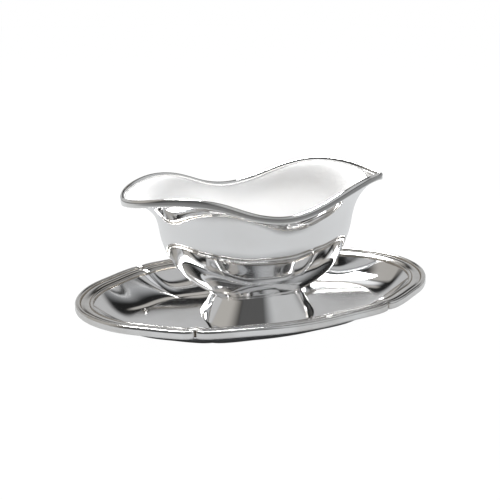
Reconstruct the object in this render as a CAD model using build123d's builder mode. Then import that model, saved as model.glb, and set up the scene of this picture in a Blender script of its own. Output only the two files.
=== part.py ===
from build123d import *
from math import atan2, cos, exp, hypot, pi, radians, sin, sqrt
import os

os.makedirs("parts", exist_ok=True)

# Gravy boat on its attached oval tray, in silver plate. Millimetres, +Z up, the spout towards +X.
# Z = 0 is the table; X = Y = 0 is the centre of the tray and of the foot.

# Tray
tray_length = 240.0
tray_width = 150.0
sheet = 1.0  # thickness of the tray's sheet
edge_height = 19.4  # table to the outer top edge of the border
skirt_height = 3.8  # outer face of the tray's edge, sheet and border together
border_width = 11.5
wall_run = 24.0  # plan width of the steep part of the well's wall
floor_radius = 39.0  # the well runs out into a flat circle round the foot
dish_share = 0.58  # the share of the well's depth that a long dish takes over where there is room
well_levels = (1, 0.85, 0.7, 0.55, 0.42, 0.3, 0.2, 0.12, 0.06, 0.02, 0)  # shares of the depth still to come
flange_setback = 0.4  # the border overhangs the sheet by this much
notch_turn = radians(57.9)  # ellipse angle of each of the four notches
notch_depth = 2.3
notch_length = 4.0
shoulder_rise = 1.2
shoulder_length = 12.0
hollow_depth = 1.0
hollow_place = 32.0
hollow_length = 14.0
lobe_steps = 10  # sections of the outline between a notch and the middle of a lobe
lobe_spread = 1.6  # above 1, the sections crowd towards the notches
groove_width = 1.4  # upright groove where two lengths of border meet at a notch
groove_depth = 1.0

# Raised centre of the tray, hidden by the foot, and the fixing in it
boss_radius = 19.0
boss_slope = 4.0
boss_top = 7.5
stud_radius = 3.0
stud_clearance = 0.25
stud_end = 1.6  # height of the stud's tip above the table
stud_chamfer = 0.6
washer_radius = 7.5
washer_thickness = 0.9
nut_across_flats = 10.0
nut_thickness = 3.2
nut_chamfer = 0.5
plate_radius = 12.0
plate_bottom = 8.6

# Foot
foot_bottom_radius = 38.0
foot_slope = 0.617  # loss of radius for each mm of height
foot_wall = 1.2
foot_cut_height = 26.0  # any height above the joint with the bowl
joint_gap = 0.05  # thickness of a soldered joint

# Bowl: the body is half an ellipsoid, a little narrower towards the spout, and flares into two lips
body_length = 134.0
body_width = 89.0
body_depth = 59.0
body_top = 69.4
body_offset = 1.7  # the body's centre lies this far towards the spout
bowl_wall = 1.2
flare_start = 62.4
cap_angle = 2.5  # the bowl's surfaces are closed by a small flat cap at the bottom, this wide in degrees
body_angles = (cap_angle, 8, 18, 30, 44, 58, 71, 80)  # places up the body, in degrees of its ellipse
flare_angles = (20, 38, 55, 72, 90)  # places up the flare, spread by their sines
flare_power = 0.9  # 1 is a flare of even curl; less curls more at the rim
flare_power_ends = -0.375  # added towards both lips
flare_power_spout = 0.125  # added at the spout and taken off at the round lip
spout_narrowing = 0.058  # share of the body's plan radius that is missing towards the spout
narrowing_start = 24.0  # heights between which the body takes up that narrowing
narrowing_end = 50.0

# Rim wire of the bowl
wire_face = 3.3
wire_dome = 1.3
wire_width = 3.0
wire_inner_drop = 0.2  # the inner edge is this much lower than the outer one
web_margin = 0.15  # a narrow flat ledge all along the inner edge, which grows into the web at the spout
wire_seat_width = 1.4
wire_seat_height = 1.2
spout_fill = 6.0  # the flat web between the wires at the point of the spout
spout_fill_length = 9.5
rim_steps = 30

# Half of the rim's outer top edge, from the round lip to the point of the spout
rim_points = [
    (-88.5, 0.0, 85.2),
    (-84.0, 16.1, 87.3),
    (-72.0, 28.8, 89.8),
    (-55.0, 38.6, 90.2),
    (-40.0, 42.8, 87.3),
    (-22.0, 45.9, 80.8),
    (0.0, 50.2, 77.8),
    (18.0, 50.0, 81.1),
    (38.0, 45.9, 87.9),
    (58.0, 36.8, 92.6),
    (76.0, 21.1, 91.6),
    (84.5, 10.2, 88.9),
    (90.5, 0.0, 86.4),
]
rim_start_direction = (0, 1, 0.1)
rim_end_direction = (0.55, -0.82, -0.18)

flange_bottom = edge_height - skirt_height
flange_top = flange_bottom + sheet
half_length = tray_length / 2
half_width = tray_width / 2


# ---------------------------------------------------------------- outline of the tray


def outline_point(turn, inset):
    """A point of the notched oval at an ellipse angle, moved in along the ellipse's normal."""
    x = half_length * cos(turn)
    y = half_width * sin(turn)
    normal = Vector(x / half_length**2, y / half_width**2, 0).normalized()
    first_quadrant = atan2(abs(sin(turn)), abs(cos(turn)))
    speed = hypot(half_length * sin(notch_turn), half_width * cos(notch_turn))
    from_notch = speed * abs(first_quadrant - notch_turn)
    shoulder = shoulder_rise * exp(-((from_notch / shoulder_length) ** 2))
    notch = notch_depth * exp(-from_notch / notch_length)
    hollow = hollow_depth * exp(-(((from_notch - hollow_place) / hollow_length) ** 2))
    return Vector(x, y, 0) + normal * (shoulder - notch - hollow - inset)


def well_point(turn, first_inset, depth_left):
    """A point of the well, in plan, where this share of its depth is still to come."""
    edge = outline_point(turn, first_inset)
    around = atan2(half_width * sin(turn), half_length * cos(turn))
    floor_edge = Vector(cos(around), sin(around), 0) * floor_radius
    run = (edge - floor_edge).length
    dish = dish_share * (1 - wall_run / run)
    low, high = 0.0, 1.0
    for _ in range(40):
        share = (low + high) / 2
        wall = max(0.0, 1 - share * run / wall_run) ** 2
        if (1 - dish) * wall + dish * (1 - share) ** 2 > depth_left:
            low = share
        else:
            high = share
    return edge + (floor_edge - edge) * share


def lobe_turns(centre):
    """Ellipse angles along one lobe from notch to notch, closer together near the notches."""
    half_span = notch_turn if abs(cos(centre)) > 0.5 else pi / 2 - notch_turn
    rising = [half_span * (step / lobe_steps) ** lobe_spread for step in range(lobe_steps)]
    before = [centre - half_span + rise for rise in rising]
    after = [centre + half_span - rise for rise in rising[::-1]]
    return before + [centre] + after


def closed_face(height, place_of):
    """A level face inside four splines that meet at the notches; place_of gives their points."""
    with BuildSketch(Plane.XY.offset(height)) as face:
        with BuildLine():
            for quarter in range(4):
                Spline(*[place_of(turn) for turn in lobe_turns(quarter * pi / 2)])
        make_face()
    return face.sketch


def well_face(first_inset, top, bottom, left):
    return closed_face(bottom + (top - bottom) * left, lambda turn: well_point(turn, first_inset, left))


# ---------------------------------------------------------------- tray

with BuildPart() as tray_pan:
    for left in well_levels:
        add(well_face(border_width - sheet, flange_bottom, 0, left))
    loft(ruled=True)
    add(closed_face(flange_bottom, lambda turn: outline_point(turn, flange_setback)))
    extrude(amount=sheet)
    for left in well_levels:
        add(well_face(border_width, flange_top, sheet, left))
    loft(ruled=True, mode=Mode.SUBTRACT)
    with BuildSketch(Plane.XZ):
        with BuildLine():
            Polyline(
                (0, sheet / 2),
                (boss_radius + boss_slope + sheet, sheet / 2),
                (boss_radius + boss_slope + sheet, sheet),
                (boss_radius + sheet, boss_top),
                (0, boss_top),
                close=True,
            )
        make_face()
    revolve(axis=Axis.Z)
    with BuildSketch(Plane.XZ):
        with BuildLine():
            Polyline(
                (0, -sheet),
                (boss_radius + boss_slope, -sheet),
                (boss_radius + boss_slope, 0),
                (boss_radius, boss_top - sheet),
                (0, boss_top - sheet),
                close=True,
            )
        make_face()
    revolve(axis=Axis.Z, mode=Mode.SUBTRACT)
    with BuildSketch(Plane.XY.offset(boss_top)):
        Circle(stud_radius + stud_clearance)
    extrude(amount=-2 * sheet, mode=Mode.SUBTRACT)
tray_pan.part.label = "tray_pan"
export_step(tray_pan.part, "parts/tray_pan.step")


# Border profile, as distance in from the edge and height above the edge, between reeds
bead_line = [(0.0, 0.0), (0.5, 0.85), (1.7, 1.25), (2.8, 0.8), (3.3, -0.3)]
band_line = [(3.3, -0.3), (4.1, 0.1), (6.3, 0.25), (8.4, -0.3), (9.2, -0.9)]
fine_bead_line = [(9.2, -0.9), (9.6, -0.5), (10.3, -0.45), (11.0, -0.9), (11.5, -1.8)]


def border_face(turn):
    """Cross-section of the border on the ellipse's normal at one place of the outline."""
    edge = outline_point(turn, 0)
    inward = (outline_point(turn, 1) - edge).normalized()
    place = Plane(origin=(edge.X, edge.Y, edge_height), x_dir=inward, z_dir=inward.cross(Vector(0, 0, 1)))
    with BuildSketch(place) as face:
        with BuildLine():
            Spline(*bead_line)
            Spline(*band_line)
            Spline(*fine_bead_line)
            Polyline(
                fine_bead_line[-1],
                (border_width, flange_top - edge_height),
                (flange_setback, flange_top - edge_height),
                (flange_setback, -skirt_height),
                (0, -skirt_height),
                (0, 0),
            )
        make_face()
    return face.sketch


def notch_turns():
    return [notch_turn, pi - notch_turn, pi + notch_turn, -notch_turn]


with BuildPart() as notch_grooves:
    for turn in notch_turns():
        edge = outline_point(turn, 0)
        outward = (edge - outline_point(turn, 1)).normalized()
        place = Plane(origin=(edge.X, edge.Y, flange_bottom - sheet), x_dir=outward, z_dir=(0, 0, 1))
        with BuildSketch(place):
            corners = [(-groove_depth, 0), (groove_depth, -groove_width), (groove_depth, groove_width)]
            Polygon(*corners, align=None)
        extrude(amount=skirt_height + sheet)


def border_length(centre, name):
    """One length of moulding, from notch to notch, with half a groove at each end."""
    with BuildPart() as border:
        for turn in lobe_turns(centre):
            add(border_face(turn))
        loft()
        add(notch_grooves.part, mode=Mode.SUBTRACT)
    border.part.label = name
    export_step(border.part, f"parts/{name}.step")


for quarter, name in enumerate(["border_right", "border_back", "border_left", "border_front"]):
    border_length(quarter * pi / 2, name)

# ---------------------------------------------------------------- boat


def body_radius(direction, shrink):
    """Plan radius of the body's ellipse in a direction from its centre."""
    across = cos(direction) / (body_length / 2 - shrink)
    along = sin(direction) / (body_width / 2 - shrink)
    return 1 / hypot(across, along)


def meridian(direction, end, shrink):
    """Points of the bowl's wall on an upright plane, from the flat cap out to the rim."""
    radius = body_radius(direction, shrink)
    depth = body_depth - shrink
    power = flare_power + flare_power_ends * cos(direction) ** 2 + flare_power_spout * cos(direction)
    heights = [body_top - depth * cos(radians(angle)) for angle in body_angles]
    heights += [flare_start + (end[1] - flare_start) * sin(radians(angle)) for angle in flare_angles]
    narrowing = spout_narrowing * ((1 + cos(direction)) / 2) ** 2
    points = []
    for height in heights:
        climb = min(1.0, max(0.0, (height - narrowing_start) / (narrowing_end - narrowing_start)))
        narrowed = radius * (1 - narrowing * climb**2 * (3 - 2 * climb))
        fall = max(0.0, body_top - height) / depth
        rise = max(0.0, height - flare_start) / (end[1] - flare_start)
        flare = 1 - max(0.0, 1 - rise**2) ** power
        body = narrowed * sqrt(1 - fall**2)
        points.append((body + flare * (end[0] - narrowed), height))
    return points


with BuildLine() as rim_line:
    Spline(*rim_points, tangents=(rim_start_direction, rim_end_direction))
half_rim = rim_line.edge()

rim_stations = []
for step in range(rim_steps + 1):
    along = step / rim_steps
    edge = half_rim @ along
    reach = Vector(edge.X - body_offset, edge.Y, 0)
    direction = atan2(max(0.0, edge.Y), reach.X)
    left_to_tip = (1 - along) * half_rim.length
    fill = spout_fill * exp(-((left_to_tip / spout_fill_length) ** 2))
    rim_stations.append((direction, reach.length, edge.Z, wire_width + web_margin + fill))


def meridian_plane(direction):
    outward = Vector(cos(direction), sin(direction), 0)
    return Plane(origin=(body_offset, 0, 0), x_dir=outward, z_dir=outward.cross(Vector(0, 0, 1)))


def both_halves(walls, caps):
    """Join the walls of a half on the +Y side to their mirror image, as one closed solid."""
    walls = [wall for wall in walls if abs(wall.center().Y) > 0.001]
    return Solid(Shell(walls + [wall.mirror(Plane.XZ) for wall in walls] + caps))


with BuildPart() as half_bowl:
    for direction, radius, height, width in rim_stations:
        seat_radius = radius - wire_seat_width - joint_gap
        seat_height = height - wire_seat_height - joint_gap
        outer = meridian(direction, (seat_radius, height - wire_face), 0)
        inner = meridian(direction, (radius - wire_width, seat_height), bowl_wall)
        with BuildSketch(meridian_plane(direction)):
            with BuildLine():
                Spline(*outer)
                Polyline(outer[-1], (seat_radius, seat_height), inner[-1])
                Spline(*inner[::-1])
                Line(inner[0], outer[0])
            make_face()
    loft()

hole_wall, *bowl_walls = half_bowl.faces().sort_by(SortBy.AREA)
bowl_caps = []
for arc in (hole_wall.edges().sort_by(Axis.Z)[0], hole_wall.edges().sort_by(Axis.Z)[-1]):
    bowl_caps.append(Face(Wire([arc, arc.mirror(Plane.XZ)])))

with BuildPart() as boat_bowl:
    add(both_halves(bowl_walls, bowl_caps))
boat_bowl.part.label = "boat_bowl"
export_step(boat_bowl.part, "parts/boat_bowl.step")

with BuildPart() as half_wire:
    for direction, radius, height, width in rim_stations:
        with BuildSketch(meridian_plane(direction)):
            with BuildLine():
                Spline(
                    (radius, height),
                    (radius - wire_width * 0.12, height + wire_dome * 0.55),
                    (radius - wire_width * 0.32, height + wire_dome * 0.92),
                    (radius - wire_width * 0.55, height + wire_dome),
                    (radius - wire_width * 0.85, height + wire_dome * 0.55),
                    (radius - wire_width, height - wire_inner_drop),
                )
                Polyline(
                    (radius - wire_width, height - wire_inner_drop),
                    (radius - width, height - wire_inner_drop),
                    (radius - width, height - wire_seat_height),
                    (radius - wire_seat_width, height - wire_seat_height),
                    (radius - wire_seat_width, height - wire_face),
                    (radius, height - wire_face),
                    (radius, height),
                )
            make_face()
    loft()

with BuildPart() as boat_rim_wire:
    add(both_halves(half_wire.faces(), []))
boat_rim_wire.part.label = "boat_rim_wire"
export_step(boat_rim_wire.part, "parts/boat_rim_wire.step")

# The underside of the bowl as a solid form, to shape what is soldered to it
body_form = Pos(body_offset, 0, body_top) * scale(
    Sphere(1), by=(body_length / 2 + joint_gap, body_width / 2 + joint_gap, body_depth + joint_gap)
)


def foot_radius(height):
    return foot_bottom_radius - foot_slope * (height - sheet)


with BuildPart() as pedestal_foot:
    with BuildSketch(Plane.XZ):
        with BuildLine():
            Polyline(
                (foot_radius(sheet), sheet),
                (foot_radius(foot_cut_height), foot_cut_height),
                (foot_radius(foot_cut_height) - foot_wall, foot_cut_height),
                (foot_radius(sheet) - foot_wall, sheet),
                close=True,
            )
        make_face()
    revolve(axis=Axis.Z)
    add(body_form, mode=Mode.SUBTRACT)
pedestal_foot.part.label = "pedestal_foot"
export_step(pedestal_foot.part, "parts/pedestal_foot.step")

# ---------------------------------------------------------------- fixing

with BuildPart() as stud_plate:
    with BuildSketch(Plane.XY.offset(plate_bottom)):
        Circle(plate_radius)
        Circle(stud_radius, mode=Mode.SUBTRACT)
    extrude(amount=body_top - body_depth)
    add(body_form, mode=Mode.SUBTRACT)
stud_plate.part.label = "stud_plate"
export_step(stud_plate.part, "parts/stud_plate.step")

with BuildPart() as threaded_stud:
    with BuildSketch(Plane.XY.offset(stud_end)):
        Circle(stud_radius)
    extrude(amount=body_top - body_depth)
    chamfer(threaded_stud.edges().sort_by(Axis.Z)[0], length=stud_chamfer)
    add(body_form, mode=Mode.SUBTRACT)
threaded_stud.part.label = "threaded_stud"
export_step(threaded_stud.part, "parts/threaded_stud.step")

washer_top = boss_top - sheet
with BuildPart() as washer:
    with BuildSketch(Plane.XY.offset(washer_top - washer_thickness)):
        Circle(washer_radius)
        Circle(stud_radius + stud_clearance, mode=Mode.SUBTRACT)
    extrude(amount=washer_thickness)
washer.part.label = "washer"
export_step(washer.part, "parts/washer.step")

nut_top = washer_top - washer_thickness
with BuildPart() as fixing_nut:
    with BuildSketch(Plane.XY.offset(nut_top - nut_thickness)):
        RegularPolygon(radius=nut_across_flats / 2, side_count=6, major_radius=False)
        Circle(stud_radius, mode=Mode.SUBTRACT)
    extrude(amount=nut_thickness)
    outer_edges = fixing_nut.edges().filter_by(GeomType.LINE).group_by(Axis.Z)
    chamfer(outer_edges[0], length=nut_chamfer)
fixing_nut.part.label = "fixing_nut"
export_step(fixing_nut.part, "parts/fixing_nut.step")
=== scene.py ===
import math

import bpy
import numpy as np
from mathutils import Matrix, Vector


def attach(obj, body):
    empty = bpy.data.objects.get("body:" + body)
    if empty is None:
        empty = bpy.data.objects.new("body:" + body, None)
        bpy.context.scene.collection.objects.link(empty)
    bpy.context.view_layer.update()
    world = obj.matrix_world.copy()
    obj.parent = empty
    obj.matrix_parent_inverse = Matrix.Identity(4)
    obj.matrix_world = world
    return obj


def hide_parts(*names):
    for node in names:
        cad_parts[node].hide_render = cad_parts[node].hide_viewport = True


# A silver-plated gravy boat on its attached tray. Metres; Z = 0 is the table and +X is the spout.
# The polished surfaces are built again here as fine, smooth meshes from the design's own dimensions.

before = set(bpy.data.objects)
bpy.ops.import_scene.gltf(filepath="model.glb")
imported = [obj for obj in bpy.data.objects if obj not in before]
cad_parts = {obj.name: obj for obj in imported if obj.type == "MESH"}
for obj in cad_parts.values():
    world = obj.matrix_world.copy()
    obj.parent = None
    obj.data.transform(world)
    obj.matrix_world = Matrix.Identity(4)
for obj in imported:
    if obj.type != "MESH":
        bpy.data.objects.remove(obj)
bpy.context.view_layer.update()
MM = 0.001

# ---------------------------------------------------------------- design dimensions (millimetres)
HALF_LENGTH = 120.0
HALF_WIDTH = 75.0
SHEET = 1.0
EDGE_HEIGHT = 19.4
SKIRT_HEIGHT = 3.8
BORDER_WIDTH = 11.5
WALL_RUN = 24.0
DISH_DEPTH = 9.0
FLOOR_RADIUS = 39.0
FLANGE_SETBACK = 0.4
NOTCH_TURN = math.radians(57.9)
NOTCH_DEPTH = 2.3
NOTCH_LENGTH = 4.0
SHOULDER_RISE = 1.2
SHOULDER_LENGTH = 12.0
HOLLOW_DEPTH = 1.0
HOLLOW_PLACE = 32.0
HOLLOW_LENGTH = 14.0
LOBE_SPREAD = 1.5
FLANGE_BOTTOM = EDGE_HEIGHT - SKIRT_HEIGHT
FLANGE_TOP = FLANGE_BOTTOM + SHEET
BOSS_RADIUS = 19.0
BOSS_SLOPE = 4.0
BOSS_TOP = 7.5
BOSS_HOLE = 3.25

FOOT_RADIUS = 38.0
FOOT_SLOPE = 0.617
FOOT_WALL = 1.2
FOOT_EDGE = 0.25  # rounding of the foot's lower edge
FOOT_STATIONS = 240
JOINT_GAP = 0.05
SOLDER_DEPTH = 0.9  # the solder line starts this far below the joint
SOLDER_LINE = ((-0.55, 0.12), (-0.25, 0.38), (0.0, 0.45), (0.25, 0.2))  # height and reach out of the cone

BODY_LENGTH = 134.0
BODY_WIDTH = 89.0
BODY_DEPTH = 59.0
BODY_TOP = 69.4
BODY_OFFSET = 1.7
BOWL_WALL = 1.2
FLARE_START = 62.4
FLARE_POWER = 0.9
FLARE_POWER_ENDS = -0.375
FLARE_POWER_SPOUT = 0.125
NARROWING = 0.058
NARROW_START = 24.0
NARROW_END = 50.0

WIRE_FACE = 3.3
WIRE_DOME = 1.3
WIRE_WIDTH = 3.0
WIRE_INNER_DROP = 0.2
SEAT_WIDTH = 1.4
SEAT_HEIGHT = 1.2
SPOUT_FILL = 6.0
SPOUT_FILL_LENGTH = 9.5
WEB_MARGIN = 0.15
WEB_WEAR = 0.4

RIM_POINTS = np.array([
    (-88.5, 0.0, 85.2),
    (-84.0, 16.1, 87.3),
    (-72.0, 28.8, 89.8),
    (-55.0, 38.6, 90.2),
    (-40.0, 42.8, 87.3),
    (-22.0, 45.9, 80.8),
    (0.0, 50.2, 77.8),
    (18.0, 50.0, 81.1),
    (38.0, 45.9, 87.9),
    (58.0, 36.8, 92.6),
    (76.0, 21.1, 91.6),
    (84.5, 10.2, 88.9),
    (90.5, 0.0, 86.4),
])
RIM_START = (0.0, 1.0, 0.1)
RIM_END = (0.55, -0.82, -0.18)

# Fineness of the meshes: places along a length, and rows across it
TRAY_STEPS = 44
BORDER_STEPS = 60
WELL_ROWS = 70
WELL_CROWDING = 1.4  # above 1, the rows crowd towards the edge of the well
RIM_SAMPLES = 4001
HALF_RIM_STATIONS = 201
BODY_ROWS = 40
FLARE_ROWS = 31
ROLL_ROWS = 30
CONE_ROWS = 20


# ---------------------------------------------------------------- mesh helpers


def spline_through(points, start, end, samples):
    """Points on the smooth cubic through `points`, with given end directions, evenly spread."""
    points = np.asarray(points, float)
    chord = np.linalg.norm(np.diff(points, axis=0), axis=1)
    knots = np.concatenate([[0.0], np.cumsum(chord)])
    count = len(points)
    system = np.zeros((count, count))
    right = np.zeros_like(points)
    system[0, 0] = system[-1, -1] = 1.0
    right[0] = np.asarray(start) / np.linalg.norm(start)
    right[-1] = np.asarray(end) / np.linalg.norm(end)
    for i in range(1, count - 1):
        before, after = chord[i - 1], chord[i]
        system[i, i - 1 : i + 2] = after, 2 * (before + after), before
        right[i] = 3 * (
            after * (points[i] - points[i - 1]) / before + before * (points[i + 1] - points[i]) / after
        )
    slopes = np.linalg.solve(system, right)
    places = np.linspace(0, knots[-1], samples)
    span = np.clip(np.searchsorted(knots, places, "right") - 1, 0, count - 2)
    width = chord[span][:, None]
    t = ((places - knots[span]) / chord[span])[:, None]
    return (
        (2 * t**3 - 3 * t**2 + 1) * points[span]
        + (t**3 - 2 * t**2 + t) * width * slopes[span]
        + (3 * t**2 - 2 * t**3) * points[span + 1]
        + (t**3 - t**2) * width * slopes[span + 1]
    )


def free_spline(points, samples):
    """The smooth cubic through 2-D points with ends that follow the first and last runs."""
    points = np.asarray(points, float)
    return spline_through(points, points[1] - points[0], points[-1] - points[-2], samples)


def smooth_object(name, vertices, faces, material, sharp):
    """A smooth-shaded object from vertices in millimetres, with edges above `sharp` degrees kept."""
    mesh = bpy.data.meshes.new(name)
    mesh.from_pydata([tuple(v * MM) for v in vertices], [], faces)
    mesh.validate()
    mesh.shade_smooth()
    mesh.set_sharp_from_angle(angle=math.radians(sharp))
    mesh.materials.append(material)
    piece = bpy.data.objects.new(name, mesh)
    bpy.context.scene.collection.objects.link(piece)
    return piece


def surface_object(name, rows, closed_rows, material, sharp=35.0):
    """A mesh from rows of points (row, station, xyz) in millimetres, closed round the stations.

    closed_rows joins the last row to the first, as on a ring; otherwise a row whose points all
    meet becomes one vertex, as at the bottom of a bowl.
    """
    vertices, faces, row_start, is_point = [], [], [], []
    stations = rows.shape[1]
    for row in rows:
        pole = np.ptp(row, axis=0).max() < 1e-6
        row_start.append(len(vertices))
        is_point.append(pole)
        vertices.extend(row[:1] if pole else row)
    pairs = list(zip(range(len(rows) - 1), range(1, len(rows))))
    if closed_rows:
        pairs.append((len(rows) - 1, 0))
    for low, high in pairs:
        for i in range(stations):
            j = (i + 1) % stations
            a = [row_start[low]] if is_point[low] else [row_start[low] + i, row_start[low] + j]
            b = [row_start[high]] if is_point[high] else [row_start[high] + j, row_start[high] + i]
            if len(a) + len(b) > 2:
                faces.append(a + b)
    return smooth_object(name, vertices, faces, material, sharp)


def add_attribute(piece, name, values):
    attribute = piece.data.attributes.new(name, "FLOAT", "POINT")
    attribute.data.foreach_set("value", np.asarray(values, np.float32))


# ---------------------------------------------------------------- materials


def new_material(name):
    material = bpy.data.materials.new(name)
    material.use_nodes = True
    tree = material.node_tree
    return material, tree, tree.nodes["Principled BSDF"]


def feed(tree, socket, value):
    """Give an input socket a number or colour, or link it to another node's output."""
    if isinstance(value, bpy.types.NodeSocket):
        tree.links.new(value, socket)
    else:
        socket.default_value = value


def math_node(tree, operation, first, second=None, third=None, clamp=False):
    node = tree.nodes.new("ShaderNodeMath")
    node.operation = operation
    node.use_clamp = clamp
    for socket, value in zip(node.inputs, (first, second, third)):
        if value is not None:
            feed(tree, socket, value)
    return node.outputs["Value"]


def remap(tree, value, from_min, from_max, to_min=0.0, to_max=1.0, smooth=False):
    node = tree.nodes.new("ShaderNodeMapRange")
    if smooth:
        node.interpolation_type = "SMOOTHSTEP"
    ends = (("From Min", from_min), ("From Max", from_max), ("To Min", to_min), ("To Max", to_max))
    for name, number in ends:
        node.inputs[name].default_value = number
    feed(tree, node.inputs["Value"], value)
    return node.outputs["Result"]


def scaled(tree, color, factor):
    """A colour made brighter or darker by a factor."""
    node = tree.nodes.new("ShaderNodeVectorMath")
    node.operation = "SCALE"
    node.inputs[0].default_value = color
    feed(tree, node.inputs["Scale"], factor)
    return node.outputs["Vector"]


def object_place(tree):
    return tree.nodes.new("ShaderNodeTexCoord").outputs["Object"]


def noise(tree, place, scale, detail, roughness=0.5):
    node = tree.nodes.new("ShaderNodeTexNoise")
    node.inputs["Scale"].default_value = scale
    node.inputs["Detail"].default_value = detail
    node.inputs["Roughness"].default_value = roughness
    tree.links.new(place, node.inputs["Vector"])
    return node.outputs["Fac"]


def mesh_attribute(tree, name):
    node = tree.nodes.new("ShaderNodeAttribute")
    node.attribute_name = name
    return node.outputs["Fac"]


def color_mix(tree, factor, first, second):
    """A colour between two, as RGB; returns the mixed colour's socket."""
    node = tree.nodes.new("ShaderNodeMix")
    node.data_type = "RGBA"
    node.inputs[6].default_value = (*first, 1.0)
    node.inputs[7].default_value = (*second, 1.0)
    tree.links.new(factor, node.inputs["Factor"])
    return node.outputs[2]


def add_bump(tree, shader, height, strength, distance):
    node = tree.nodes.new("ShaderNodeBump")
    node.inputs["Strength"].default_value = strength
    node.inputs["Distance"].default_value = distance
    tree.links.new(height, node.inputs["Height"])
    tree.links.new(node.outputs["Normal"], shader.inputs["Normal"])


def wipe_scratches(tree, place):
    """Fine streaks that all run one way, as left by a polishing cloth."""
    stretch = tree.nodes.new("ShaderNodeMapping")
    stretch.inputs["Scale"].default_value = (260.0, 1900.0, 1900.0)
    stretch.inputs["Rotation"].default_value = (0.0, 0.0, 0.35)
    tree.links.new(place, stretch.inputs["Vector"])
    return noise(tree, stretch.outputs["Vector"], 1.0, 2.0)


def tarnish_amount(tree, place):
    """Soft clouds of tarnish, with a few small specks where the clouds are thickest."""
    cloud = noise(tree, place, 22.0, 5.0, 0.6)
    speck = tree.nodes.new("ShaderNodeTexVoronoi")
    speck.inputs["Scale"].default_value = 120.0
    tree.links.new(place, speck.inputs["Vector"])
    speck_mask = remap(tree, speck.outputs["Distance"], 0.02, 0.09, 0.55, 0.0)
    spots = math_node(tree, "MULTIPLY", speck_mask, remap(tree, cloud, 0.56, 0.66))
    haze = remap(tree, cloud, 0.42, 0.75, 0.0, 0.5)
    return math_node(tree, "ADD", haze, spots, clamp=True)


TARNISH_ROUGHNESS = 0.16
WIPE_ROUGHNESS = 0.05
WORN_METALLIC = 0.2
WIPE_DEPTH = 0.00002


def silver(name, color, tarnish, roughness, scratch, groove_tarnish_and_slot_shade=False, satin=0.0):
    """Polished silver plate: fine wipe scratches, soft tarnish clouds, tarnish in grooves, and painted
    shade in slots.

    satin is how much rougher the surface is where the mesh's "worn" attribute is 1. It is also
    far less like a mirror there. A mesh without that attribute is polished all over.
    """
    material, tree, shader = new_material(name)
    place = object_place(tree)
    wipe = wipe_scratches(tree, place)
    darkening = tarnish_amount(tree, place)
    # The groove attribute holds tarnish in the grooves and painted shade in the slots.
    if groove_tarnish_and_slot_shade:
        darkening = math_node(tree, "ADD", darkening, mesh_attribute(tree, "groove_tarnish_and_slot_shade"), clamp=True)
    tree.links.new(color_mix(tree, darkening, color, tarnish), shader.inputs["Base Color"])

    rough = remap(tree, darkening, 0.0, 1.0, roughness, roughness + TARNISH_ROUGHNESS)
    streaky = math_node(tree, "MULTIPLY_ADD", wipe, WIPE_ROUGHNESS, rough)
    worn = mesh_attribute(tree, "worn")
    satiny = math_node(tree, "MULTIPLY_ADD", worn, satin, streaky)
    tree.links.new(satiny, shader.inputs["Roughness"])
    tree.links.new(remap(tree, worn, 0.0, 1.0, 1.0, WORN_METALLIC), shader.inputs["Metallic"])
    add_bump(tree, shader, wipe, scratch, WIPE_DEPTH)
    return material


def brass(name):
    """Turned brass with fine tool rings and a dull film."""
    material, tree, shader = new_material(name)
    shader.inputs["Metallic"].default_value = 1.0
    place = object_place(tree)
    rings = tree.nodes.new("ShaderNodeTexWave")
    rings.wave_type = "RINGS"
    rings.rings_direction = "Z"
    rings.inputs["Scale"].default_value = 900.0
    rings.inputs["Distortion"].default_value = 0.6
    tree.links.new(place, rings.inputs["Vector"])
    film = noise(tree, place, 180.0, 4.0)
    tint = color_mix(tree, film, (0.72, 0.52, 0.24), (0.38, 0.26, 0.13))
    tree.links.new(tint, shader.inputs["Base Color"])
    tree.links.new(remap(tree, film, 0.0, 1.0, 0.22, 0.5), shader.inputs["Roughness"])
    add_bump(tree, shader, rings.outputs["Fac"], 0.25, 0.00004)
    return material


SILVER_BOWL = silver("silver_bowl", (0.97, 0.97, 0.97), (0.86, 0.84, 0.81), 0.02, 0.12, satin=0.4)
SILVER_TRAY = silver("silver_tray", (0.93, 0.935, 0.945), (0.78, 0.77, 0.75), 0.02, 0.15, satin=0.3)
SILVER_BORDER = silver("silver_border", (0.93, 0.93, 0.925), (0.42, 0.38, 0.33), 0.06, 0.2, groove_tarnish_and_slot_shade=True)
SILVER_WIRE = silver("silver_wire", (0.93, 0.93, 0.925), (0.74, 0.71, 0.65), 0.04, 0.15, satin=0.3)
BRASS = brass("brass_fixing")

# ---------------------------------------------------------------- tray


def outline(turns, inset):
    """Points of the notched oval, moved in by an inset along the ellipse's normals."""
    x, y = HALF_LENGTH * np.cos(turns), HALF_WIDTH * np.sin(turns)
    normal = np.stack([x / HALF_LENGTH**2, y / HALF_WIDTH**2], -1)
    normal /= np.linalg.norm(normal, axis=-1, keepdims=True)
    first_quadrant = np.arctan2(abs(np.sin(turns)), abs(np.cos(turns)))
    speed = math.hypot(HALF_LENGTH * math.sin(NOTCH_TURN), HALF_WIDTH * math.cos(NOTCH_TURN))
    from_notch = speed * abs(first_quadrant - NOTCH_TURN)
    shoulder = SHOULDER_RISE * np.exp(-((from_notch / SHOULDER_LENGTH) ** 2))
    notch = NOTCH_DEPTH * np.exp(-from_notch / NOTCH_LENGTH)
    hollow = HOLLOW_DEPTH * np.exp(-(((from_notch - HOLLOW_PLACE) / HOLLOW_LENGTH) ** 2))
    reach = shoulder - notch - hollow - inset
    return np.stack([x, y], -1) + normal * reach[..., None]


def lobe_turns(centre, steps):
    """Ellipse angles from notch to notch, closer together near the notches."""
    half_span = NOTCH_TURN if abs(math.cos(centre)) > 0.5 else math.pi / 2 - NOTCH_TURN
    rising = half_span * (np.arange(steps) / steps) ** LOBE_SPREAD
    return np.concatenate([centre - half_span + rising, [centre], centre + half_span - rising[::-1]])


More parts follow.
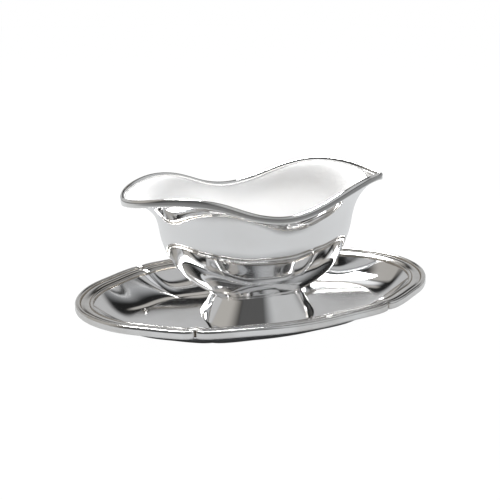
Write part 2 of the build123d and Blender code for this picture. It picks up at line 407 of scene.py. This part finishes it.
def tray_pan():
    """The pressed tray: flange, curved wall, dished floor and the raised centre under the foot."""
    turns = np.concatenate([lobe_turns(q * math.pi / 2, TRAY_STEPS)[:-1] for q in range(4)])
    around = np.arctan2(HALF_WIDTH * np.sin(turns), HALF_LENGTH * np.cos(turns))
    circle = np.stack([np.cos(around), np.sin(around)], -1)

    def ring(inset, height):
        plan = outline(turns, inset)
        return np.column_stack([plan, np.full(len(plan), height)])

    def disc(radius, height):
        return np.column_stack([circle * radius, np.full(len(circle), height)])

    def side(first_inset, top, bottom, boss_radius, boss_top):
        rows = []
        edge = ring(first_inset, 0.0)
        floor_edge = disc(FLOOR_RADIUS, 0.0)
        run = np.linalg.norm(edge - floor_edge, axis=1)
        dish = DISH_DEPTH * (1 - WALL_RUN / np.maximum(run, WALL_RUN))
        for share in np.linspace(0, 1, WELL_ROWS) ** WELL_CROWDING:
            wall = np.maximum(0.0, 1 - share * run / WALL_RUN) ** 2
            rise = (top - bottom - dish) * wall + dish * (1 - share) ** 2
            rows.append(edge * (1 - share) + floor_edge * share)
            rows[-1][:, 2] = bottom + rise
        rows += [disc(boss_radius + BOSS_SLOPE, bottom), disc(boss_radius, boss_top)]
        rows.append(disc(BOSS_HOLE, boss_top))
        return rows

    upper = side(BORDER_WIDTH, FLANGE_TOP, SHEET, BOSS_RADIUS + SHEET, BOSS_TOP)
    lower = side(BORDER_WIDTH - SHEET, FLANGE_BOTTOM, 0.0, BOSS_RADIUS, BOSS_TOP - SHEET)
    edge = [ring(FLANGE_SETBACK, FLANGE_BOTTOM), ring(FLANGE_SETBACK, FLANGE_TOP)]
    rows = np.array(lower[::-1] + edge + upper)
    return surface_object("tray_pan_polished", rows, True, SILVER_TRAY)


# Across the border, from the foot of the outer face to the inner edge: distance in, height
SKIRT_LINE = [(0.5, -3.8), (0.15, -3.75), (0.0, -3.5), (0.0, -1.8), (0.0, 0.0)]
BEAD_LINE = [(0.0, 0.0), (0.5, 0.85), (1.7, 1.25), (2.8, 0.8), (3.3, -0.3)]
BAND_LINE = [(3.3, -0.3), (4.1, 0.1), (6.3, 0.25), (8.4, -0.3), (9.2, -0.9)]
FINE_BEAD_LINE = [(9.2, -0.9), (9.6, -0.5), (10.3, -0.45), (11.0, -0.9), (11.5, -1.8)]
SEAT = FLANGE_TOP - EDGE_HEIGHT  # the border's flat underside, on the flange
GROOVES = (3.3, 9.2, 11.5)  # distances in of the grooves that hold dirt
GROOVE_SPREAD = 0.35
LOWEST_DIRT = -2.0
SLOT_HALF_WIDTH = 1.0  # upright slot in the outer face where two lengths meet at a notch
SLOT_DEPTH = 1.3


def border_profile():
    parts = [
        free_spline(SKIRT_LINE, 9),
        free_spline(BEAD_LINE, 16)[1:],
        free_spline(BAND_LINE, 16)[1:],
        free_spline(FINE_BEAD_LINE, 14)[1:],
        [(BORDER_WIDTH, SEAT), (FLANGE_SETBACK, SEAT), (FLANGE_SETBACK, -SKIRT_HEIGHT)],
    ]
    return np.concatenate(parts)


def border(name, quarter):
    """One length of reeded moulding, closed at both ends, with tarnish in its grooves and painted shade in
    its slots.
    """
    turns = lobe_turns(quarter * math.pi / 2, BORDER_STEPS)
    profile = border_profile()
    from_end = np.linalg.norm(outline(turns, 0.0) - outline(turns[:1], 0.0), axis=1)
    from_end = np.minimum(from_end, from_end[::-1])
    slot = SLOT_DEPTH * np.maximum(0.0, 1 - from_end / SLOT_HALF_WIDTH)
    rows, groove_tarnish_and_slot_shade = [], []
    for inset, height in profile:
        cut = max(0.0, 1 - inset / SLOT_DEPTH)
        plan = outline(turns, inset + slot * cut)
        rows.append(np.column_stack([plan, np.full(len(plan), EDGE_HEIGHT + height)]))
        nearest = min(abs(inset - place) for place in GROOVES)
        inside = 1.0 if height > LOWEST_DIRT else 0.0
        darkening = inside * math.exp(-((nearest / GROOVE_SPREAD) ** 2))
        # The slot's share is painted shade in the slot's recess; the rest is tarnish in the grooves.
        groove_tarnish_and_slot_shade.append(np.maximum(darkening, slot / SLOT_DEPTH * cut))
    rows = np.array(rows)
    count, stations = rows.shape[:2]
    vertices = rows.transpose(1, 0, 2).reshape(-1, 3)
    faces = []
    for i in range(stations - 1):
        for j in range(count):
            k = (j + 1) % count
            faces.append((i * count + j, i * count + k, (i + 1) * count + k, (i + 1) * count + j))
    faces.append(tuple(range(count - 1, -1, -1)))
    faces.append(tuple((stations - 1) * count + j for j in range(count)))
    piece = smooth_object(name, vertices, faces, SILVER_BORDER, sharp=40.0)
    add_attribute(piece, "groove_tarnish_and_slot_shade", np.array(groove_tarnish_and_slot_shade).T.ravel())
    return piece


# ---------------------------------------------------------------- boat


def rim_stations():
    """Direction, plan radius, height and wire width at each place round the boat's rim."""
    dense = spline_through(RIM_POINTS, RIM_START, RIM_END, RIM_SAMPLES)
    length = np.concatenate([[0.0], np.cumsum(np.linalg.norm(np.diff(dense, axis=0), axis=1))])
    share = np.linspace(0, 1, HALF_RIM_STATIONS)
    wanted = length[-1] * (share + (1 - np.cos(math.pi * share)) / 2) / 2
    half = np.stack([np.interp(wanted, length, dense[:, k]) for k in range(3)], -1)
    left_to_tip = length[-1] - wanted
    width = WIRE_WIDTH + WEB_MARGIN + SPOUT_FILL * np.exp(-((left_to_tip / SPOUT_FILL_LENGTH) ** 2))
    reach = half[:, :2] - (BODY_OFFSET, 0)
    direction = np.arctan2(reach[:, 1], reach[:, 0])
    direction[0], direction[-1] = math.pi, 0.0
    radius = np.linalg.norm(reach, axis=1)
    back = np.column_stack([direction, radius, half[:, 2], width])
    front = back[1:-1][::-1] * (-1, 1, 1, 1)
    return np.concatenate([back, front])


def radial_rows(stations, sections):
    """Rows of points from per-station (distance, height) sections on upright planes."""
    direction = stations[:, 0]
    rows = []
    for distance, height in sections:
        x = BODY_OFFSET + distance * np.cos(direction)
        y = distance * np.sin(direction)
        rows.append(np.column_stack([x, y, height]))
    return np.array(rows)


def meridian(stations, end_distance, end_height, shrink):
    """The bowl's wall from its lowest point out to the rim, as (distance, height) for each row."""
    direction = stations[:, 0]
    radius = 1 / np.hypot(
        np.cos(direction) / (BODY_LENGTH / 2 - shrink), np.sin(direction) / (BODY_WIDTH / 2 - shrink)
    )
    depth = BODY_DEPTH - shrink
    power = FLARE_POWER + FLARE_POWER_ENDS * np.cos(direction) ** 2 + FLARE_POWER_SPOUT * np.cos(direction)
    narrowing = NARROWING * ((1 + np.cos(direction)) / 2) ** 2
    last_angle = math.degrees(math.acos((BODY_TOP - FLARE_START) / depth))
    rows = []
    for angle in np.radians(np.linspace(0, last_angle, BODY_ROWS)):
        height = BODY_TOP - depth * math.cos(angle)
        rise = min(1.0, max(0.0, (height - NARROW_START) / (NARROW_END - NARROW_START)))
        body = radius * (1 - narrowing * rise**2 * (3 - 2 * rise))
        rows.append((body * math.sin(angle), np.full(len(radius), height)))
    radius = radius * (1 - narrowing)
    for angle in np.radians(np.linspace(0, 90, FLARE_ROWS)[1:]):
        rise = math.sin(angle)
        height = FLARE_START + (end_height - FLARE_START) * rise
        fall = np.maximum(0.0, BODY_TOP - height) / depth
        flare = 1 - (1 - min(1.0, rise**2)) ** power
        rows.append((radius * np.sqrt(1 - fall**2) + flare * (end_distance - radius), height))
    return rows


def boat_bowl(stations):
    radius, height = stations[:, 1], stations[:, 2]
    outer = meridian(stations, radius - SEAT_WIDTH, height - WIRE_FACE, 0)
    inner = meridian(stations, radius - WIRE_WIDTH, height - SEAT_HEIGHT, BOWL_WALL)
    shoulder = [(radius - SEAT_WIDTH, height - SEAT_HEIGHT)]
    rows = radial_rows(stations, outer + shoulder + inner[::-1])
    piece = surface_object("boat_bowl_polished", rows, False, SILVER_BOWL)
    count = len(stations)
    outside = [0.0] * (1 + count * len(outer))
    add_attribute(piece, "worn", outside + [1.0] * (len(piece.data.vertices) - len(outside)))
    return piece


def boat_rim_wire(stations):
    """The heavy wire soldered round the rim, with the small flat web at the point of the spout."""
    rows = []
    for direction, radius, height, width in stations:
        roll = free_spline([
            (radius, height),
            (radius - WIRE_WIDTH * 0.12, height + WIRE_DOME * 0.55),
            (radius - WIRE_WIDTH * 0.32, height + WIRE_DOME * 0.92),
            (radius - WIRE_WIDTH * 0.55, height + WIRE_DOME),
            (radius - WIRE_WIDTH * 0.85, height + WIRE_DOME * 0.55),
            (radius - WIRE_WIDTH, height - WIRE_INNER_DROP),
        ], ROLL_ROWS)
        face = [(radius - 0.2, height - WIRE_FACE), (radius - 0.05, height - WIRE_FACE + 0.1)]
        face += [(radius, height - WIRE_FACE * t) for t in (0.85, 0.5, 0.25)]
        visible = np.concatenate([face, roll])
        hidden = [
            (radius - width, height - WIRE_INNER_DROP),
            (radius - width, height - SEAT_HEIGHT),
            (radius - SEAT_WIDTH, height - SEAT_HEIGHT),
            (radius - SEAT_WIDTH, height - WIRE_FACE),
        ]
        section = np.concatenate([visible, hidden])
        outward = np.array([math.cos(direction), math.sin(direction)])
        rows.append(np.column_stack([section[:, :1] * outward + (BODY_OFFSET, 0), section[:, 1]]))
    rows = np.array(rows).transpose(1, 0, 2)
    piece = surface_object("boat_rim_wire_polished", rows, True, SILVER_WIRE, sharp=50.0)
    worn = np.zeros(rows.shape[:2])
    worn[len(visible) : len(visible) + 2] = WEB_WEAR
    add_attribute(piece, "worn", worn.ravel())
    return piece


def pedestal_foot():
    """The flared cone, cut at the top to the bowl's underside, with a fine solder line there."""
    angles = np.linspace(0, 2 * math.pi, FOOT_STATIONS, endpoint=False)
    along, across = np.cos(angles), np.sin(angles)

    def cone(height):
        return FOOT_RADIUS - FOOT_SLOPE * (height - SHEET)

    # Halve the span of heights until it closes on the bowl's underside
    low, high = np.full(FOOT_STATIONS, 10.0), np.full(FOOT_STATIONS, 30.0)
    for _ in range(40):
        middle = (low + high) / 2
        r = cone(middle)
        plan = ((r * along - BODY_OFFSET) / (BODY_LENGTH / 2)) ** 2 + (r * across / (BODY_WIDTH / 2)) ** 2
        below = BODY_TOP - BODY_DEPTH * np.sqrt(1 - plan) > middle
        low, high = np.where(below, middle, low), np.where(below, high, middle)
    top = low - JOINT_GAP
    bottom = np.full(FOOT_STATIONS, SHEET)
    cone_bottom = SHEET + FOOT_EDGE

    def ring(height, thickness):
        r = cone(height) - thickness
        return np.column_stack([r * along, r * across, height])

    rows = [ring(bottom, FOOT_WALL), ring(bottom, FOOT_EDGE), ring(bottom + FOOT_EDGE, 0.0)]
    cone_top = top - SOLDER_DEPTH
    rows += [ring(cone_bottom + (cone_top - cone_bottom) * t, 0.0) for t in np.linspace(0.05, 1, CONE_ROWS)]
    rows += [ring(top + up, -out) for up, out in SOLDER_LINE]
    rows += [ring(top, 0.5), ring(top - 1.0, FOOT_WALL)]
    return surface_object("pedestal_foot_polished", np.array(rows), True, SILVER_BOWL, sharp=50.0)


stations = rim_stations()
pieces = {
    "tray_pan": (tray_pan(), "silver_tray"),
    "boat_bowl": (boat_bowl(stations), "silver_bowl"),
    "boat_rim_wire": (boat_rim_wire(stations), "silver_border"),
    "pedestal_foot": (pedestal_foot(), "silver_bowl"),
}
for quarter, side in enumerate(("right", "back", "left", "front")):
    pieces[f"border_{side}"] = (border(f"border_{side}_polished", quarter), "silver_border")
for node, (piece, slot) in pieces.items():
    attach(piece, "root")
    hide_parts(node)
for node in ("stud_plate", "threaded_stud", "washer", "fixing_nut"):
    for material_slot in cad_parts[node].material_slots:
        material_slot.material = BRASS

# ---------------------------------------------------------------- studio

WARM = (1.0, 0.96, 0.90)
COOL = (0.97, 0.985, 1.0)
PLAIN = (1.0, 1.0, 1.0)
FLOOR_RIM = 2.6
FLOOR_STATIONS = 96
PALE_CENTRE = (-0.03, 0.12, 0.0)
PALE_FROM, PALE_TO = 0.35, 0.43
PALE, DARKER = 0.47, 0.2
WHITE_STRENGTH = 1.05
WHITE_SHARE = 0.95  # how much of the floor that the camera itself sees is plain white


def floor():
    """A pale round table top, darker away from the object, and almost white to the camera."""
    turns = np.linspace(0, 2 * math.pi, FLOOR_STATIONS, endpoint=False)
    edge = [(FLOOR_RIM * math.cos(t), FLOOR_RIM * math.sin(t), 0.0) for t in turns]
    mesh = bpy.data.meshes.new("floor")
    mesh.from_pydata(edge, [], [tuple(range(FLOOR_STATIONS))])
    material, tree, shader = new_material("floor")
    nodes, link = tree.nodes, tree.links.new
    shader.inputs["Roughness"].default_value = 0.9
    shader.inputs["Specular IOR Level"].default_value = 0.0
    reach = nodes.new("ShaderNodeVectorMath")
    reach.operation = "DISTANCE"
    reach.inputs[1].default_value = PALE_CENTRE
    link(object_place(tree), reach.inputs[0])
    fade = remap(tree, reach.outputs["Value"], PALE_FROM, PALE_TO, PALE, DARKER, smooth=True)
    link(scaled(tree, COOL, fade), shader.inputs["Base Color"])

    white = nodes.new("ShaderNodeEmission")
    white.inputs["Strength"].default_value = WHITE_STRENGTH
    light_path = nodes.new("ShaderNodeLightPath")
    blend = nodes.new("ShaderNodeMixShader")
    link(math_node(tree, "MULTIPLY", light_path.outputs["Is Camera Ray"], WHITE_SHARE), blend.inputs["Fac"])
    link(shader.outputs["BSDF"], blend.inputs[1])
    link(white.outputs["Emission"], blend.inputs[2])
    link(blend.outputs["Shader"], nodes["Material Output"].inputs["Surface"])
    mesh.materials.append(material)
    piece = bpy.data.objects.new("floor", mesh)
    bpy.context.scene.collection.objects.link(piece)


# Soft panels round the studio. Each has the azimuth of its middle, from the front (-Y) towards +X,
# its lowest and highest elevation, half its width, the softness of its sides and of its top and
# bottom, all in degrees, then its brightness and colour.
PANELS = (
    (55, 6, 64, 50, 44, 10, 0.52, COOL),
    (-118, -10, 60, 42, 40, 12, 0.42, WARM),
    (170, -10, 25, 70, 20, 8, 0.5, PLAIN),
    (156, 34, 56, 16, 8, 5, 0.45, WARM),
    (172, 40, 62, 11, 8, 12, 0.9, PLAIN),
    (-150, 32, 58, 24, 10, 6, 0.42, WARM),
    (0, -10, 10, 60, 30, 8, 0.16, PLAIN),
    (-30, 8, 56, 40, 20, 10, 0.09, PLAIN),
    (-20, 54, 100, 95, 20, 12, 0.4, COOL),
)
AMBIENT = 0.015


def studio():
    world = bpy.data.worlds.new("studio")
    bpy.context.scene.world = world
    world.use_nodes = True
    tree = world.node_tree
    nodes, link = tree.nodes, tree.links.new

    def inside(value, half_width, softness):
        """1 within half_width of 0, and 0 beyond it, with a soft edge."""
        return remap(tree, value, half_width + softness / 2, half_width - softness / 2, smooth=True)

    place = nodes.new("ShaderNodeTexCoord")
    split = nodes.new("ShaderNodeSeparateXYZ")
    link(place.outputs["Generated"], split.inputs["Vector"])
    to_front = math_node(tree, "MULTIPLY", split.outputs["Y"], -1.0)
    turn = math_node(tree, "ARCTAN2", split.outputs["X"], to_front)
    azimuth = math_node(tree, "MULTIPLY", turn, 180 / math.pi)
    elevation = math_node(tree, "MULTIPLY", math_node(tree, "ARCSINE", split.outputs["Z"]), 180 / math.pi)
    total = None
    for middle, lowest, highest, half_width, side_softness, end_softness, brightness, color in PANELS:
        aside = math_node(tree, "WRAP", math_node(tree, "SUBTRACT", azimuth, float(middle)), 180.0, -180.0)
        across = inside(math_node(tree, "ABSOLUTE", aside), half_width, side_softness)
        from_middle = math_node(tree, "SUBTRACT", elevation, (lowest + highest) / 2)
        along = inside(math_node(tree, "ABSOLUTE", from_middle), (highest - lowest) / 2, end_softness)
        shape = math_node(tree, "MULTIPLY", along, across)
        brightest = nodes.new("ShaderNodeVectorMath")
        brightest.operation = "MAXIMUM"
        link(scaled(tree, [brightness * part for part in color], shape), brightest.inputs[0])
        feed(tree, brightest.inputs[1], (AMBIENT, AMBIENT, AMBIENT) if total is None else total)
        total = brightest.outputs["Vector"]
    light_path = nodes.new("ShaderNodeLightPath")
    seen = nodes.new("ShaderNodeMix")
    seen.data_type = "RGBA"
    link(light_path.outputs["Is Camera Ray"], seen.inputs["Factor"])
    link(total, seen.inputs[6])
    seen.inputs[7].default_value = (1.0, 1.0, 1.0, 1.0)
    link(seen.outputs[2], nodes["Background"].inputs["Color"])


SOFTBOX_AZIMUTH = math.radians(178)
SOFTBOX_ELEVATION = math.radians(68)
SOFTBOX_DISTANCE = 1.2
SOFTBOX_SIZE = 0.5
SOFTBOX_RADIANCE = 24.0


def softbox():
    """The large soft light over the table, a little behind the object."""
    data = bpy.data.lights.new("softbox", "AREA")
    data.shape = "RECTANGLE"
    data.size = data.size_y = SOFTBOX_SIZE
    data.energy = SOFTBOX_RADIANCE * math.pi * SOFTBOX_SIZE**2
    lamp = bpy.data.objects.new("softbox", data)
    bpy.context.scene.collection.objects.link(lamp)
    away = Vector((
        math.sin(SOFTBOX_AZIMUTH) * math.cos(SOFTBOX_ELEVATION),
        -math.cos(SOFTBOX_AZIMUTH) * math.cos(SOFTBOX_ELEVATION),
        math.sin(SOFTBOX_ELEVATION),
    ))
    lamp.location = away * SOFTBOX_DISTANCE
    lamp.rotation_euler = away.to_track_quat("Z", "Y").to_euler()


# The camera looks from the front, a little to the left and above. Distances in millimetres.
CAMERA_AZIMUTH = math.radians(-21.15)
CAMERA_ELEVATION = math.radians(17.93)
CAMERA_DISTANCE = 596.3
CAMERA_ASIDE = 4.9
CAMERA_DROP = -22.8
CAMERA_LENS = 64.9


def camera():
    azimuth, elevation = CAMERA_AZIMUTH, CAMERA_ELEVATION
    back = Vector((
        math.sin(azimuth) * math.cos(elevation),
        -math.cos(azimuth) * math.cos(elevation),
        math.sin(elevation),
    ))
    right = Vector((math.cos(azimuth), math.sin(azimuth), 0.0))
    up = back.cross(right)
    place = back * CAMERA_DISTANCE - right * CAMERA_ASIDE - up * CAMERA_DROP + Vector((0, 0, EDGE_HEIGHT))
    data = bpy.data.cameras.new("camera")
    data.lens = CAMERA_LENS
    data.sensor_width = 36.0
    data.clip_start, data.clip_end = 0.01, 20.0
    viewer = bpy.data.objects.new("camera", data)
    bpy.context.scene.collection.objects.link(viewer)
    axes = Matrix((right, up, back)).transposed().to_4x4()
    viewer.matrix_world = Matrix.Translation(place * MM) @ axes
    bpy.context.scene.camera = viewer


floor()
studio()
softbox()
camera()
bpy.context.scene.view_settings.view_transform = "Standard"
